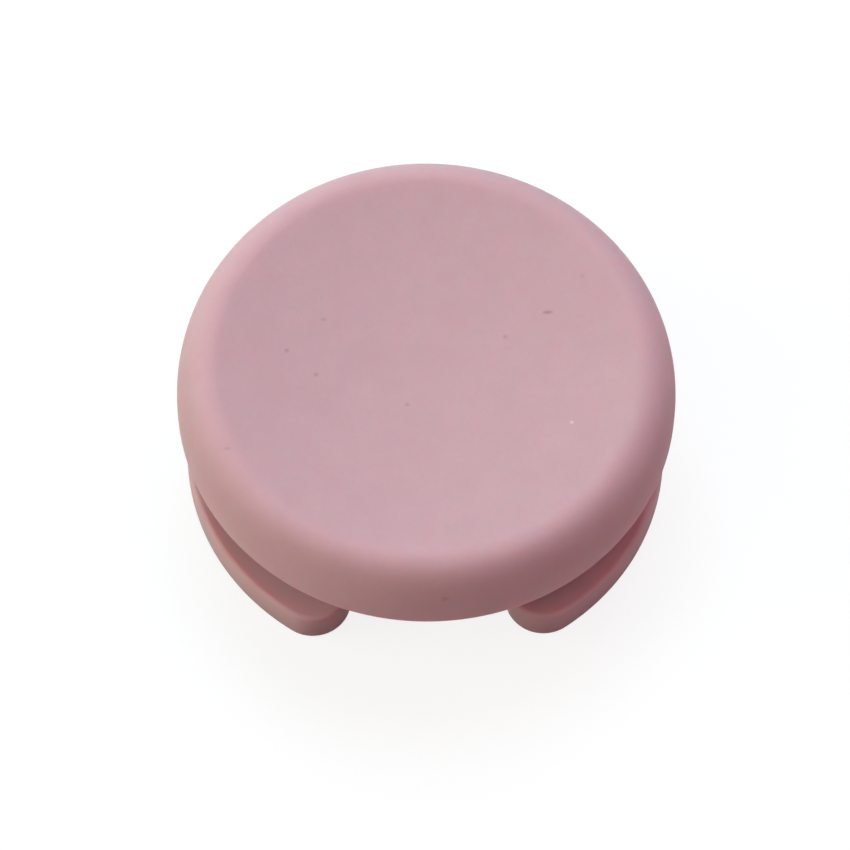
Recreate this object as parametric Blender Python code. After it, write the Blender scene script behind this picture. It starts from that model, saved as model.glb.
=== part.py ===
"""Thumbstick cap for a game controller's slide pad, moulded in one piece.

A dished round disc for the thumb stands on a hidden neck. Under it lies a flat flange of about the
disc's own width, which two notches, front and rear, divide into two crescent lobes. A square blind
socket runs up the middle from below, for the square stem that the cap is pushed onto.

Metres, +Z up. The origin is the centre of the flange's underside, and the front notch faces -Y.
"""

import math

import bmesh
import bpy

# Disc, from its lower edge up
DISC_RADIUS = 0.0085
DISC_WALL_HEIGHT = 0.0005
RIM_WIDTH = 0.00125
RIM_HEIGHT = 0.0021
RIM_FULLNESS = 2.1
DISH_DEPTH = 0.0007
DISC_EDGE_ROUND = 0.00012

# Square socket for the stem, and the neck around it
SOCKET_WIDTH = 0.0044
SOCKET_CORNER_ROUND = 0.0005
SOCKET_RISE_INTO_DISC = 0.00065
SOCKET_MOUTH_CHAMFER = 0.00025
NECK_WALL = 0.0009
NECK_HEIGHT = 0.00265
NECK_FILLET = 0.00035

# Flange and its two notches
FLANGE_RADIUS = 0.00827
FLANGE_THICKNESS = 0.0014
FLANGE_EDGE_ROUND = 0.00015
NOTCH_WIDTH = 0.0053
NOTCH_LAND = 0.00025
NOTCH_CORNER_ROUND = 0.0006
LOBE_CORNER_ROUND = 0.0013

# Fineness of the faceted surfaces
TURNED_STEPS = 96
RIM_STEPS = 14
DISH_STEPS = 5
SMALL_ARC_STEPS = 4
CORNER_STEPS = 8
FLANGE_ARC_STEPS = 26
FLANGE_EDGE_STEPS = 2
MERGE_DISTANCE = 1e-7

# Share of the rim's width within which the dish joins it, and halvings that find the place
DISH_JOIN_REACH = 0.9
DISH_JOIN_HALVINGS = 60

# Angles in degrees between two faces from which an edge is rounded, or shaded as a crease
ROUND_FROM_ANGLE = 60
CREASE_FROM_ANGLE = 35

# Depth to which one solid is sunk in the next before the two are joined
JOIN_DEPTH = 0.0004
FILLET_SINK = 0.00003

PLASTIC_COLOUR = (0.6, 0.35, 0.385, 1.0)
PLASTIC_ROUGHNESS = 0.5

SOCKET_CORNER_REACH = (SOCKET_WIDTH / 2 - SOCKET_CORNER_ROUND) * math.sqrt(2) + SOCKET_CORNER_ROUND
NECK_RADIUS = SOCKET_CORNER_REACH + NECK_WALL
DISC_UNDERSIDE_Z = FLANGE_THICKNESS + NECK_HEIGHT
WALL_TOP_Z = DISC_UNDERSIDE_Z + DISC_WALL_HEIGHT
CREST_Z = WALL_TOP_Z + RIM_HEIGHT
CREST_RADIUS = DISC_RADIUS - RIM_WIDTH
SOCKET_DEPTH = DISC_UNDERSIDE_Z + SOCKET_RISE_INTO_DISC
NOTCH_END = NECK_RADIUS + NECK_FILLET + NOTCH_LAND


def clear_scene():
    for obj in list(bpy.data.objects):
        bpy.data.objects.remove(obj, do_unlink=True)


def arc(centre, radius, start, end, steps):
    """Points on a circle's arc, both ends included, with angles in degrees."""
    points = []
    for i in range(steps + 1):
        angle = math.radians(start + (end - start) * i / steps)
        points.append((centre[0] + radius * math.cos(angle), centre[1] + radius * math.sin(angle)))
    return points


def rim_slope(run):
    """Drop and downward slope of the rim's superellipse at a distance from its crest."""
    level = 1 - (run / RIM_WIDTH) ** RIM_FULLNESS
    drop = RIM_HEIGHT * (1 - level ** (1 / RIM_FULLNESS))
    slope = RIM_HEIGHT / RIM_WIDTH * (run / RIM_WIDTH) ** (RIM_FULLNESS - 1) * level ** (1 / RIM_FULLNESS - 1)
    return drop, slope


def dish_entry():
    """Distance past the crest at which the rim turns into the dish, its drop there and its slope.

    The dish is a parabola DISH_DEPTH deep under the crest, and meets the rim with the same slope.
    """
    short, far = 0.0, DISH_JOIN_REACH * RIM_WIDTH
    for _ in range(DISH_JOIN_HALVINGS):
        run = (short + far) / 2
        drop, slope = rim_slope(run)
        if slope * (CREST_RADIUS - run) / 2 + drop < DISH_DEPTH:
            short = run
        else:
            far = run
    return run, drop, slope


def rim_points(run):
    """The rim's superellipse, from a distance past the crest out and down to the straight wall."""
    start = math.acos(-((run / RIM_WIDTH) ** (RIM_FULLNESS / 2)))
    points = []
    for i in range(RIM_STEPS + 1):
        angle = start * (1 - i / RIM_STEPS)
        across = math.copysign(abs(math.cos(angle)) ** (2 / RIM_FULLNESS), math.cos(angle))
        up = math.sin(angle) ** (2 / RIM_FULLNESS)
        points.append((CREST_RADIUS + RIM_WIDTH * across, WALL_TOP_Z + RIM_HEIGHT * up))
    return points


def turned_profile():
    """Disc and neck as (radius, height) points, from the dish's middle round to the neck's foot."""
    run, drop, slope = dish_entry()
    entry_radius = CREST_RADIUS - run
    entry_z = CREST_Z - drop
    points = []
    for i in range(DISH_STEPS):
        radius = entry_radius * i / DISH_STEPS
        points.append((radius, entry_z - slope * (entry_radius ** 2 - radius ** 2) / (2 * entry_radius)))
    points += rim_points(run)
    edge = DISC_EDGE_ROUND
    points += arc((DISC_RADIUS - edge, DISC_UNDERSIDE_Z + edge), edge, 0, -90, SMALL_ARC_STEPS)
    fillet = NECK_FILLET
    points += arc((NECK_RADIUS + fillet, DISC_UNDERSIDE_Z - fillet), fillet, 90, 180, SMALL_ARC_STEPS)
    foot_z = FLANGE_THICKNESS - FILLET_SINK + fillet
    points += arc((NECK_RADIUS + fillet, foot_z), fillet, 180, 270, SMALL_ARC_STEPS)
    points.append((NECK_RADIUS + fillet, FLANGE_THICKNESS - JOIN_DEPTH))
    points.append((0.0, FLANGE_THICKNESS - JOIN_DEPTH))
    return points


def mesh_object(name, bm):
    mesh = bpy.data.meshes.new(name)
    bm.to_mesh(mesh)
    bm.free()
    obj = bpy.data.objects.new(name, mesh)
    bpy.context.scene.collection.objects.link(obj)
    return obj


def turned_solid(name, profile, steps):
    """Spin a profile that starts and ends on the axis into one closed solid."""
    bm = bmesh.new()
    verts = [bm.verts.new((radius, 0, z)) for radius, z in profile]
    edges = [bm.edges.new(pair) for pair in zip(verts, verts[1:])]
    bmesh.ops.spin(
        bm, geom=verts + edges, axis=(0, 0, 1), cent=(0, 0, 0),
        angle=2 * math.pi, steps=steps, use_merge=False,
    )
    bmesh.ops.remove_doubles(bm, verts=bm.verts, dist=MERGE_DISTANCE)
    bmesh.ops.recalc_face_normals(bm, faces=bm.faces)
    return mesh_object(name, bm)


def flange_quarter():
    """Outline of one quarter of the flange, from the +X axis to the rear notch's middle line.

    The round outer edge turns through the lobe's corner into the notch's straight side, and that
    through a small inner corner, no larger than the side allows, into the notch's end.
    """
    half = NOTCH_WIDTH / 2
    corner = LOBE_CORNER_ROUND
    corner_x = half + corner
    corner_y = math.sqrt((FLANGE_RADIUS - corner) ** 2 - corner_x ** 2)
    inner = min(NOTCH_CORNER_ROUND, corner_y - NOTCH_END)
    meet = math.degrees(math.atan2(corner_y, corner_x))
    points = arc((0, 0), FLANGE_RADIUS, 0, meet, FLANGE_ARC_STEPS)
    points += arc((corner_x, corner_y), corner, meet, 180, CORNER_STEPS)[1:]
    points += arc((half - inner, NOTCH_END + inner), inner, 0, -90, CORNER_STEPS)
    return points


def flange_outline():
    """The quarter mirrored twice into one closed outline, anticlockwise."""
    quarter = flange_quarter()
    rear_left = [(-x, y) for x, y in reversed(quarter)]
    rear = quarter + rear_left
    front = [(-x, -y) for x, y in rear]
    return rear[:-1] + front[:-1]


def extruded_solid(name, outline, low, high):
    """Prism over a closed outline, whose stretches may shrink to a point."""
    bm = bmesh.new()
    bm.faces.new([bm.verts.new((x, y, low)) for x, y in outline])
    bmesh.ops.remove_doubles(bm, verts=bm.verts, dist=MERGE_DISTANCE)
    raised = bmesh.ops.extrude_face_region(bm, geom=bm.faces[:])["geom"]
    top = [item for item in raised if isinstance(item, bmesh.types.BMVert)]
    bmesh.ops.translate(bm, vec=(0, 0, high - low), verts=top)
    bmesh.ops.recalc_face_normals(bm, faces=bm.faces)
    return mesh_object(name, bm)


def round_edges(obj, width):
    bevel = obj.modifiers.new("edge_round", "BEVEL")
    bevel.width = width
    bevel.segments = FLANGE_EDGE_STEPS
    bevel.limit_method = "ANGLE"
    bevel.angle_limit = math.radians(ROUND_FROM_ANGLE)
    bevel.use_clamp_overlap = False


def rounded_square(width, corner):
    """Square outline with round corners, anticlockwise."""
    reach = width / 2 - corner
    points = []
    for start, sign_x, sign_y in ((0, 1, 1), (90, -1, 1), (180, -1, -1), (270, 1, -1)):
        points += arc((sign_x * reach, sign_y * reach), corner, start, start + 90, CORNER_STEPS)
    return points


def socket_cutter():
    """Blind square hole with a chamfered mouth, as a stack of outlines from below the mouth up."""
    overrun = SOCKET_MOUTH_CHAMFER
    levels = (
        (-overrun, SOCKET_MOUTH_CHAMFER + overrun),
        (SOCKET_MOUTH_CHAMFER, 0.0),
        (SOCKET_DEPTH, 0.0),
    )
    bm = bmesh.new()
    rings = []
    for z, widening in levels:
        outline = rounded_square(SOCKET_WIDTH + 2 * widening, SOCKET_CORNER_ROUND + widening)
        rings.append([bm.verts.new((x, y, z)) for x, y in outline])
    for lower, upper in zip(rings, rings[1:]):
        for i in range(len(lower)):
            j = (i + 1) % len(lower)
            bm.faces.new((lower[i], lower[j], upper[j], upper[i]))
    bm.faces.new(reversed(rings[0]))
    bm.faces.new(rings[-1])
    bmesh.ops.recalc_face_normals(bm, faces=bm.faces)
    return hidden_tool(mesh_object("socket_cutter", bm))


def hidden_tool(obj):
    obj.hide_render = True
    obj.display_type = "WIRE"
    return obj


def boolean(obj, other, operation):
    modifier = obj.modifiers.new(other.name, "BOOLEAN")
    modifier.object = other
    modifier.operation = operation
    modifier.solver = "EXACT"


def plastic():
    material = bpy.data.materials.new("moulded_plastic")
    material.use_nodes = True
    shader = material.node_tree.nodes["Principled BSDF"]
    shader.inputs["Base Color"].default_value = PLASTIC_COLOUR
    shader.inputs["Roughness"].default_value = PLASTIC_ROUGHNESS
    shader.inputs["Metallic"].default_value = 0.0
    return material


def build_cap():
    cap = turned_solid("thumbstick_cap", turned_profile(), TURNED_STEPS)
    flange = hidden_tool(extruded_solid("flange_plate", flange_outline(), 0, FLANGE_THICKNESS))
    round_edges(flange, FLANGE_EDGE_ROUND)
    boolean(cap, flange, "UNION")
    boolean(cap, socket_cutter(), "DIFFERENCE")
    cap.data.materials.append(plastic())
    cap.data.shade_smooth()
    cap.data.set_sharp_from_angle(angle=math.radians(CREASE_FROM_ANGLE))


clear_scene()
build_cap()
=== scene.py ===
"""A dusty pink thumbstick cap for a handheld slide pad, seen from above on a plain pale floor.

Metres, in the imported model's frame: +Z up, front notch towards -Y, underside of the flange on z = 0.
"""

import math

import bmesh
import bpy
import numpy as np
from mathutils import Matrix, Vector
from mathutils.geometry import tessellate_polygon


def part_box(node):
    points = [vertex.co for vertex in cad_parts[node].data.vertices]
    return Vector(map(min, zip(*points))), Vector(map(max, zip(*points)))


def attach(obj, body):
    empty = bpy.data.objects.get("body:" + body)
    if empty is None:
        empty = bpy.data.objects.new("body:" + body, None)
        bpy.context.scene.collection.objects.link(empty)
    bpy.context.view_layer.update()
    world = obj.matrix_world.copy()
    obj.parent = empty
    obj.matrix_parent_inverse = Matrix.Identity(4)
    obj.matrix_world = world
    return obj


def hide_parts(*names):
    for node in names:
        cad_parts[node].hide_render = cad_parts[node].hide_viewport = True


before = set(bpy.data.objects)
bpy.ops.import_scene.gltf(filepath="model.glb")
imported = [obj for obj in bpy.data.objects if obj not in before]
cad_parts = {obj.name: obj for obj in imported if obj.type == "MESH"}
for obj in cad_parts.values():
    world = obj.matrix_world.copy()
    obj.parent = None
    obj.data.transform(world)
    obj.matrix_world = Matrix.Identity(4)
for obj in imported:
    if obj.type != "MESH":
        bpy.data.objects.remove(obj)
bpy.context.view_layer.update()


# The disc and its neck. The real cap is one moulding in fine matte plastic, and this is the part of it
# that the mould's round inserts form: a shallow dish for the thumb, a broad full rim, a short straight
# side, a flat underside and the neck, all turned about one axis.

cap_low, cap_high = (Vector(corner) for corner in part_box("thumbstick_cap"))
disc_radius = (cap_high.x - cap_low.x) / 2
crest_z = cap_high.z
rim_width = 0.00125
rim_height = 0.0021
rim_fullness = 2.1
wall_height = 0.0005
dish_depth = 0.0007
disc_edge = 0.00012
underside_z = crest_z - rim_height - wall_height
neck_height = 0.00265
flange_top_z = underside_z - neck_height
neck_fillet = 0.00035
socket_width = 0.0044
socket_corner = 0.0005
neck_wall = 0.0009
neck_radius = (socket_width / 2 - socket_corner) * math.sqrt(2) + socket_corner + neck_wall

# A narrow flat strip beside each rounded edge, which keeps the shading of the flat face even
land = 0.00003

# Share of the rim's width within which the dish joins it, and places tried there
join_reach = 0.9
join_tries = 20001

# Points along the stretches of the turned outline, and steps round the axis
dish_steps = 44
rim_steps = 72
disc_edge_steps = 8
fillet_steps = 10
turned_steps = 320


def arc(centre, radius, start, end, count):
    """Points of a circle: centre plus radius times cosine and sine of evenly spaced angles, in degrees."""
    angle = np.radians(np.linspace(start, end, count))
    return np.stack([centre[0] + radius * np.cos(angle), centre[1] + radius * np.sin(angle)], axis=1)


def rim_to_dish():
    """Distance past the crest where the rim turns into the dish, with its drop and slope there.

    The rim is the superellipse (x / width)^n + (z / height)^n = 1 about its own centre. The dish is a
    parabola with the rim's slope at the join, and its middle lies dish_depth under the crest.
    """
    run = np.linspace(0, join_reach * rim_width, join_tries)
    level = 1 - (run / rim_width) ** rim_fullness
    drop = rim_height * (1 - level ** (1 / rim_fullness))
    steepness = (run / rim_width) ** (rim_fullness - 1) * level ** (1 / rim_fullness - 1)
    slope = rim_height / rim_width * steepness
    depth = drop + slope * (disc_radius - rim_width - run) / 2
    join = int(np.searchsorted(depth, dish_depth))
    return run[join], drop[join], slope[join]


def disc_profile():
    """Radius and height of the turned surface, from the dish's middle to the neck's foot.

    The dish is z = join - slope * (r0^2 - r^2) / 2 r0. The rim follows with x = width * cos^(2/n) and
    z = height * sin^(2/n), signs kept, then the straight side, the edge, the underside and two fillets.
    """
    run, drop, slope = rim_to_dish()
    crest_radius = disc_radius - rim_width
    join_radius = crest_radius - run
    radius = np.linspace(0, join_radius, dish_steps)[:-1]
    height = crest_z - drop - slope * (join_radius ** 2 - radius ** 2) / (2 * join_radius)
    dish = np.stack([radius, height], axis=1)
    start = math.acos(-((run / rim_width) ** (rim_fullness / 2)))
    angle = start * (1 - np.linspace(0, 1, rim_steps))
    across = np.sign(np.cos(angle)) * np.abs(np.cos(angle)) ** (2 / rim_fullness)
    up = np.sin(angle) ** (2 / rim_fullness)
    rim = np.stack([crest_radius + rim_width * across, crest_z - rim_height + rim_height * up], axis=1)
    edge_radius = disc_radius - disc_edge
    edge = arc((edge_radius, underside_z + disc_edge), disc_edge, 0, -90, disc_edge_steps)
    fillet_radius = neck_radius + neck_fillet
    flat = np.array([[edge_radius - land, underside_z], [fillet_radius + land, underside_z]])
    upper = arc((fillet_radius, underside_z - neck_fillet), neck_fillet, 90, 180, fillet_steps)
    lower = arc((fillet_radius, flange_top_z + neck_fillet), neck_fillet, 180, 270, fillet_steps)
    foot = np.array([[fillet_radius + land, flange_top_z]])
    return np.concatenate([dish, rim, edge, flat, upper, lower, foot])


def turned(profile, steps):
    """Rings of a surface of revolution: (r cos a, r sin a, z) for each profile point and angle."""
    angle = np.linspace(0, 2 * np.pi, steps, endpoint=False)
    radius, height = profile[:, :1], profile[:, 1:]
    return np.stack([radius * np.cos(angle), radius * np.sin(angle), height + 0 * angle], axis=-1)


disc_rings = turned(disc_profile(), turned_steps)


# The flange, the cap's flat foot. It is moulded with the neck as a plate nearly as wide as the disc, and
# a straight-sided notch at the front and one at the rear leave two crescent lobes with round ends.

flange_radius = 0.00827
flange_edge = 0.00015
notch_width = 0.0053
notch_land = 0.00025
notch_end = neck_radius + neck_fillet + notch_land
notch_corner = 0.0006
lobe_corner = 0.0013

# Points along the outer edge, a lobe's corner, a notch's inner corner and a rounded edge
outer_steps = 64
lobe_steps = 36
notch_steps = 18
flange_edge_steps = 8


def flange_quarter():
    """Outline and outward normals of a quarter of the flange, from the +X axis to the notch's inner end.

    Three arcs with a shared tangent or a straight between them: the outer edge, the lobe's corner, and
    the notch's inner corner, whose normal points at its centre because it is hollow.
    """
    half = notch_width / 2
    corner_x = half + lobe_corner
    corner_y = math.sqrt((flange_radius - lobe_corner) ** 2 - corner_x ** 2)
    meet = math.degrees(math.atan2(corner_y, corner_x))
    outer = arc((0, 0), flange_radius, 0, meet, outer_steps)
    lobe = arc((corner_x, corner_y), lobe_corner, meet, 180, lobe_steps)[1:]
    inner = arc((half - notch_corner, notch_end + notch_corner), notch_corner, 0, -90, notch_steps)
    normals = np.concatenate([
        arc((0, 0), 1, 0, meet, outer_steps),
        arc((0, 0), 1, meet, 180, lobe_steps)[1:],
        arc((0, 0), -1, 0, -90, notch_steps),
    ])
    return np.concatenate([outer, lobe, inner]), normals


def mirrored(quarter):
    """A quarter's points or normals mirrored in x, then both in y, anticlockwise, each axis point once."""
    half_turn = np.concatenate([quarter, quarter[::-1] * (-1, 1)])
    return np.concatenate([half_turn, half_turn[-2:0:-1] * (1, -1)])


def carried(outline, normals, inset, height):
    """Rings of an edge profile carried along an outline: outline minus inset times normal, at a height."""
    flat = outline[None] - inset[:, None, None] * normals[None]
    level = np.broadcast_to(height[:, None, None], flat.shape[:2] + (1,))
    return np.concatenate([flat, level], axis=-1)


flange_outline, flange_normals = (mirrored(quarter) for quarter in flange_quarter())
quarter_turn = np.radians(np.linspace(0, 90, flange_edge_steps))
edge_in = flange_edge * (1 - np.sin(quarter_turn))
edge_down = flange_edge * (1 - np.cos(quarter_turn))
flange_in = np.concatenate([[flange_edge + land], edge_in, edge_in[::-1], [flange_edge + land]])
flange_z = np.concatenate([[flange_top_z], flange_top_z - edge_down, edge_down[::-1], [0.0]])
flange_rings = carried(flange_outline, flange_normals, flange_in, flange_z)


# The socket. A core in the mould leaves this square blind hole up the middle of the flange and neck,
# with a chamfered mouth, and the cap is pushed onto the slide pad's square stem with it.

socket_rise_into_disc = 0.00065
socket_depth = underside_z + socket_rise_into_disc
socket_chamfer = 0.00025
socket_corner_steps = 12


def rounded_square():
    """Outline and outward normals of a square with round corners: four quarter circles in a ring."""
    reach = socket_width / 2 - socket_corner
    outline = []
    normals = []
    for (x, y), start in [((1, 1), 0), ((-1, 1), 90), ((-1, -1), 180), ((1, -1), 270)]:
        centre = (x * reach, y * reach)
        outline.append(arc(centre, socket_corner, start, start + 90, socket_corner_steps))
        normals.append(arc((0, 0), 1, start, start + 90, socket_corner_steps))
    return np.concatenate(outline), np.concatenate(normals)


socket_outline, socket_normals = rounded_square()
socket_in = np.array([-socket_chamfer - land, -socket_chamfer, 0.0, 0.0])
socket_z = np.array([0.0, 0.0, socket_chamfer, socket_depth])
socket_rings = carried(socket_outline, socket_normals, socket_in, socket_z)


# The moulding as one closed skin. The three sets of rings are joined by the flange's two flat faces and
# the socket's flat end, so that the cap is a single solid without seams, as it comes from the mould.

merge_distance = 1e-7
crease_from_angle = 30


def ring_quads(first, rings, around):
    """Quads (i, j), (i, j+1), (i+1, j+1), (i+1, j) of stacked closed rings, with j taken round."""
    i, j = np.meshgrid(np.arange(rings - 1), np.arange(around), indexing="ij")
    k = (j + 1) % around
    here, there = i * around, (i + 1) * around
    corners = np.stack([here + j, here + k, there + k, there + j], axis=-1)
    return first + corners.reshape(-1, 4)


def flat_face(points, *loops):
    """Triangles over a flat region, bounded by one loop of point numbers and pierced by any others."""
    numbers = np.concatenate(loops)
    corners = tessellate_polygon([[Vector(points[n]) for n in loop] for loop in loops])
    return numbers[np.array(corners)]


stacks = (disc_rings, flange_rings, socket_rings)
points = np.concatenate([stack.reshape(-1, 3) for stack in stacks])
faces = []
first_rings = []
last_rings = []
count = 0
for stack in stacks:
    rings, around = stack.shape[:2]
    faces += ring_quads(count, rings, around).tolist()
    first_rings.append(count + np.arange(around))
    count += rings * around
    last_rings.append(count - around + np.arange(around))
faces += flat_face(points, first_rings[1], last_rings[0]).tolist()
faces += flat_face(points, last_rings[1], first_rings[2]).tolist()
faces.append(last_rings[2].tolist())

cap_mesh = bpy.data.meshes.new("cap_moulding")
cap_mesh.from_pydata(points.tolist(), [], faces)
skin = bmesh.new()
skin.from_mesh(cap_mesh)
bmesh.ops.remove_doubles(skin, verts=skin.verts, dist=merge_distance)
bmesh.ops.recalc_face_normals(skin, faces=skin.faces)
skin.to_mesh(cap_mesh)
skin.free()
cap_mesh.shade_smooth()
cap_mesh.set_sharp_from_angle(angle=math.radians(crease_from_angle))
cap = bpy.data.objects.new("cap_moulding", cap_mesh)
bpy.context.scene.collection.objects.link(cap)


# The plastic. A pink compound moulded against a finely etched cavity: matte, slightly translucent and
# with a faint mottle and grain in its colour. Stray pigment and dust leave a few small dark specks and
# a pale one.

plastic_colour = (0.603, 0.373, 0.406, 1.0)
plastic_roughness = 0.62
plastic_gloss = 0.12
glow_depth = 0.0010
glow_share = 1.0
glow_reach = (1.0, 0.38, 0.34)

# Fineness of the noise patterns, per mm, and how strongly each shows
mm_per_metre = 1000.0
mottle_scale = 0.9
patch_scale = 0.45
grain_scale = 7.0
mottle_depth = 0.10
grain_depth = 0.12
grain_roughness = 0.08
etching_depth = 0.000006
etching_strength = 0.5

# Distances at which a speck starts to fade and has gone, in shares of its half sizes
speck_core = 0.2
speck_edge = 1.3

# Specks on the thumb face and one on the front: place and half sizes in mm, then how dark, or pale below 0
specks = [
    ((4.15, 2.12, 6.25), (0.19, 0.08, 0.4), 0.32),
    ((-4.73, 0.73, 6.26), (0.10, 0.09, 0.4), 0.22),
    ((-3.75, -0.14, 6.14), (0.09, 0.09, 0.4), 0.22),
    ((-0.68, -1.24, 5.98), (0.10, 0.08, 0.4), 0.20),
    ((2.69, 1.28, 6.07), (0.10, 0.10, 0.4), 0.16),
    ((-3.48, 1.97, 6.17), (0.11, 0.08, 0.4), 0.14),
    ((5.35, 3.38, 6.50), (0.10, 0.10, 0.4), 0.10),
    ((-6.74, -3.18, 6.63), (0.16, 0.07, 0.4), 0.12),
    ((0.48, -8.35, 5.55), (0.13, 0.4, 0.12), 0.16),
    ((4.85, -2.17, 6.34), (0.08, 0.08, 0.4), -0.34),
]


class Signal:
    """A socket of a node tree. Arithmetic on it adds Math nodes, and node() adds any other node."""

    def __init__(self, tree, socket=None):
        self.tree = tree
        self.socket = socket

    def node(self, kind, settings=None, inputs=None, out=0):
        """Adds a node, sets it up, then gives its sockets values or links, and returns one output."""
        made = self.tree.nodes.new(kind)
        for name, value in (settings or {}).items():
            setattr(made, name, value)
        for name, value in (inputs or {}).items():
            if isinstance(value, Signal):
                self.tree.links.new(value.socket, made.inputs[name])
            else:
                made.inputs[name].default_value = value
        return Signal(self.tree, made.outputs[out])

    def math(self, operation, first, second):
        return self.node("ShaderNodeMath", {"operation": operation}, {0: first, 1: second})

    def __add__(self, other):
        return self.math("ADD", self, other)

    def __mul__(self, other):
        return self.math("MULTIPLY", self, other)

    def __sub__(self, other):
        return self.math("SUBTRACT", self, other)

    def __rsub__(self, other):
        return self.math("SUBTRACT", other, self)

    __radd__ = __add__
    __rmul__ = __mul__


def new_material(name):
    """An empty material, with its node tree wrapped and its output node."""
    material = bpy.data.materials.new(name)
    material.use_nodes = True
    material.node_tree.nodes.clear()
    output = material.node_tree.nodes.new("ShaderNodeOutputMaterial")
    return material, Signal(material.node_tree), output


def speck_mask(nodes, in_mm, centre, half_sizes):
    """1 in the middle of a speck, fading to 0 past its edge: an ellipsoid cut by the surface."""
    offset = nodes.node("ShaderNodeVectorMath", {"operation": "SUBTRACT"}, {0: in_mm, 1: centre})
    shrunk = nodes.node("ShaderNodeVectorMath", {"operation": "DIVIDE"}, {0: offset, 1: half_sizes})
    distance = nodes.node("ShaderNodeVectorMath", {"operation": "LENGTH"}, {0: shrunk}, out="Value")
    return nodes.node("ShaderNodeMapRange", {"interpolation_type": "SMOOTHSTEP"}, {
        "Value": distance,
        "From Min": speck_core,
        "From Max": speck_edge,
        "To Min": 1.0,
        "To Max": 0.0,
    })


def pink_plastic():
    """Matte pink plastic: colour scaled by mottle, grain and specks, light scattered within, fine bump."""
    material, nodes, output = new_material("pink_plastic")
    place = nodes.node("ShaderNodeTexCoord", out="Object")
    in_mm = nodes.node("ShaderNodeVectorMath", {"operation": "SCALE"}, {0: place, "Scale": mm_per_metre})
    mottle = nodes.node("ShaderNodeTexNoise", {}, {
        "Vector": in_mm,
        "Scale": mottle_scale,
        "Detail": 4.0,
        "Roughness": 0.6,
    })
    patches = nodes.node("ShaderNodeTexNoise", {}, {"Vector": in_mm, "Scale": patch_scale, "Detail": 1.0})
    grain = nodes.node("ShaderNodeTexNoise", {}, {
        "Vector": in_mm,
        "Scale": grain_scale,
        "Detail": 3.0,
        "Roughness": 0.65,
    })
    tone = 1.0 + mottle_depth * (mottle - 0.5) + grain_depth * patches * (grain - 0.5)
    for centre, half_sizes, darkness in specks:
        tone = tone * (1.0 - darkness * speck_mask(nodes, in_mm, centre, half_sizes))
    colour = nodes.node(
        "ShaderNodeVectorMath", {"operation": "SCALE"}, {0: plastic_colour[:3], "Scale": tone},
    )
    bump = nodes.node("ShaderNodeBump", {}, {
        "Height": grain,
        "Distance": etching_depth,
        "Strength": etching_strength,
    })
    shader = nodes.node("ShaderNodeBsdfPrincipled", {}, {
        "Base Color": colour,
        "Roughness": plastic_roughness + grain_roughness * (grain - 0.5),
        "Normal": bump,
        "Specular IOR Level": plastic_gloss,
        "Subsurface Weight": glow_share,
        "Subsurface Radius": glow_reach,
        "Subsurface Scale": glow_depth,
    })
    nodes.tree.links.new(shader.socket, output.inputs["Surface"])
    return material


cap_mesh.materials.append(pink_plastic())
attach(cap, "root")
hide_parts("thumbstick_cap")


# The floor and the light. A pale table that shows white but keeps the cap's soft shadow, a white
# surround that shows only directly or in reflections, and six large soft lamps, the strongest behind
# the cap and the reddest at its right.

floor_reach = 3.0
floor_drop = 0.00002
floor_glow = 0.84
floor_shade = (0.18, 0.18, 0.18, 1.0)
table_colour = (0.60, 0.46, 0.42, 1.0)
white = (1.0, 1.0, 1.0, 1.0)
lamp_distance = 0.5

# Each lamp's name, azimuth, elevation, side in metres, watts and tint
lamps = [
    ("back_lamp", 90.0, 55.0, 0.36, 1.81, (0.87, 1.14, 1.25)),
    ("low_left_lamp", 180.0, 22.0, 0.30, 1.05, (1.10, 1.17, 0.99)),
    ("front_left_lamp", 210.0, 55.0, 0.36, 0.48, (1.16, 1.14, 0.96)),
    ("low_front_lamp", 300.0, 30.0, 0.36, 0.18, (1.21, 0.90, 1.14)),
    ("front_right_lamp", 330.0, 55.0, 0.36, 0.16, (1.18, 1.01, 1.07)),
    ("right_lamp", 20.0, 55.0, 0.36, 0.32, (1.47, 0.80, 0.88)),
]


def seen_directly(nodes):
    """1 for what the camera, a reflection or a refraction sees, 0 for light between surfaces."""
    outputs = nodes.node("ShaderNodeLightPath").socket.node.outputs
    by_camera = Signal(nodes.tree, outputs["Is Camera Ray"])
    by_reflection = Signal(nodes.tree, outputs["Is Glossy Ray"])
    by_refraction = Signal(nodes.tree, outputs["Is Transmission Ray"])
    return nodes.math("MAXIMUM", nodes.math("MAXIMUM", by_camera, by_reflection), by_refraction)


def white_floor():
    """A table that lights the cap in its own colour, but shows as white with the shade of the lamps."""
    material, nodes, output = new_material("white_floor")
    table = nodes.node("ShaderNodeBsdfDiffuse", {}, {"Color": table_colour})
    shade = nodes.node("ShaderNodeBsdfDiffuse", {}, {"Color": floor_shade})
    glow = nodes.node("ShaderNodeEmission", {}, {"Color": white, "Strength": floor_glow})
    shown = nodes.node("ShaderNodeAddShader", {}, {0: shade, 1: glow})
    surface = nodes.node("ShaderNodeMixShader", {}, {0: seen_directly(nodes), 1: table, 2: shown})
    nodes.tree.links.new(surface.socket, output.inputs["Surface"])
    return material


floor_corners = [(-1, -1), (1, -1), (1, 1), (-1, 1)]
floor_points = [(x * floor_reach, y * floor_reach, -floor_drop) for x, y in floor_corners]
floor_mesh = bpy.data.meshes.new("floor")
floor_mesh.from_pydata(floor_points, [], [(0, 1, 2, 3)])
floor_mesh.materials.append(white_floor())
floor = bpy.data.objects.new("floor", floor_mesh)
bpy.context.scene.collection.objects.link(floor)

world = bpy.data.worlds.new("white_surround")
world.use_nodes = True
bpy.context.scene.world = world
sky = Signal(world.node_tree)
background = world.node_tree.nodes["Background"]
background.inputs["Color"].default_value = white
world.node_tree.links.new(seen_directly(sky).socket, background.inputs["Strength"])


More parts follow.
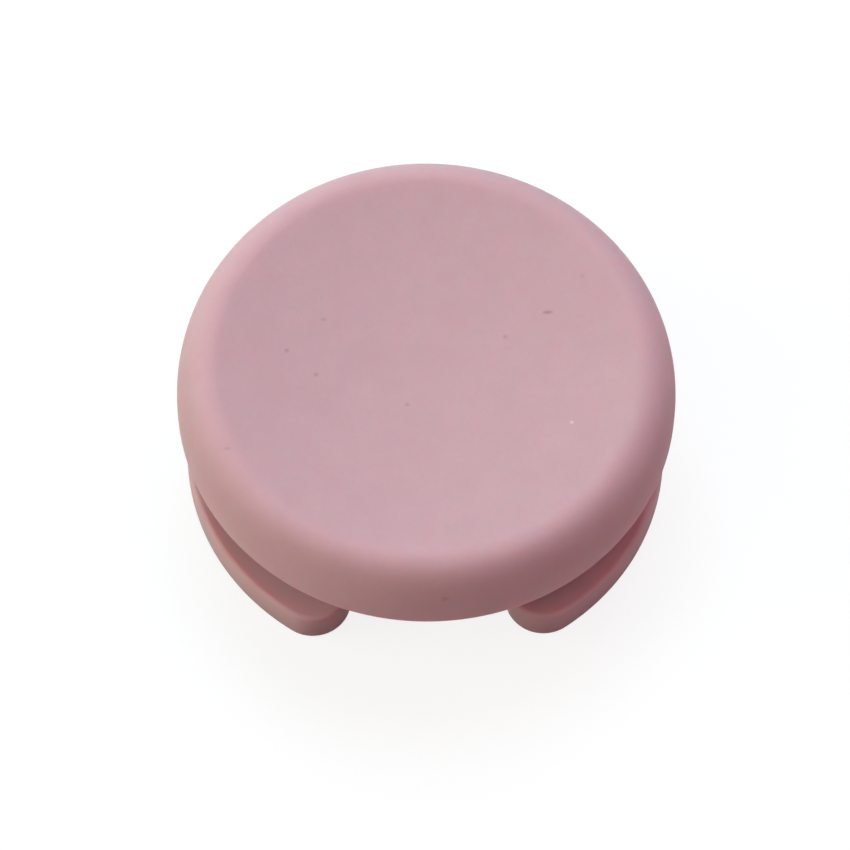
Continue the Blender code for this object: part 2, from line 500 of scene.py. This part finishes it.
def towards(azimuth, elevation):
    """Unit vector for an angle anticlockwise from +X and an angle above the floor, both in degrees."""
    a, e = math.radians(azimuth), math.radians(elevation)
    return Vector((math.cos(a) * math.cos(e), math.sin(a) * math.cos(e), math.sin(e)))


for name, azimuth, elevation, side, power, tint in lamps:
    lamp_data = bpy.data.lights.new(name, "AREA")
    lamp_data.size = side
    lamp_data.energy = power
    lamp_data.color = tint
    lamp = bpy.data.objects.new(name, lamp_data)
    lamp.location = towards(azimuth, elevation) * lamp_distance
    lamp.rotation_mode = "QUATERNION"
    lamp.rotation_quaternion = (-lamp.location).to_track_quat("-Z", "Y")
    bpy.context.scene.collection.objects.link(lamp)


# The camera. It stands before the cap and looks steeply down on it, turned a little off the notch's
# middle line and rolled by less than a degree, as the picture was taken.

picture_side = 850
view_elevation = 62.1
view_azimuth = -1.7
view_roll = 0.9
view_distance = 0.19
sensor = 36.0
near_limit = 0.01

# The point on the axis level with the top of the straight side, its pixel, and the scale there
axis_point = Vector((0.0, 0.0, underside_z + wall_height))
axis_pixel = (426.3, 392.0)
pixels_per_metre = 29320.0

turn_aside, rise = math.radians(view_azimuth), math.radians(view_elevation)
level = math.cos(rise)
back = Vector((math.sin(turn_aside) * level, -math.cos(turn_aside) * level, math.sin(rise)))
facing = back.to_track_quat("Z", "Y").to_matrix() @ Matrix.Rotation(math.radians(view_roll), 3, "Z")
right, up = facing.col[0], facing.col[1]
pixels_right = picture_side / 2 - axis_pixel[0]
pixels_down = picture_side / 2 - axis_pixel[1]
off_centre = (pixels_right * right - pixels_down * up) / pixels_per_metre
camera_data = bpy.data.cameras.new("camera")
camera_data.sensor_width = sensor
camera_data.lens = pixels_per_metre * view_distance / picture_side * sensor
camera_data.clip_start = near_limit
camera = bpy.data.objects.new("camera", camera_data)
camera.matrix_world = Matrix.Translation(axis_point + off_centre + back * view_distance) @ facing.to_4x4()
bpy.context.scene.collection.objects.link(camera)
bpy.context.scene.camera = camera
bpy.context.scene.view_settings.view_transform = "Standard"
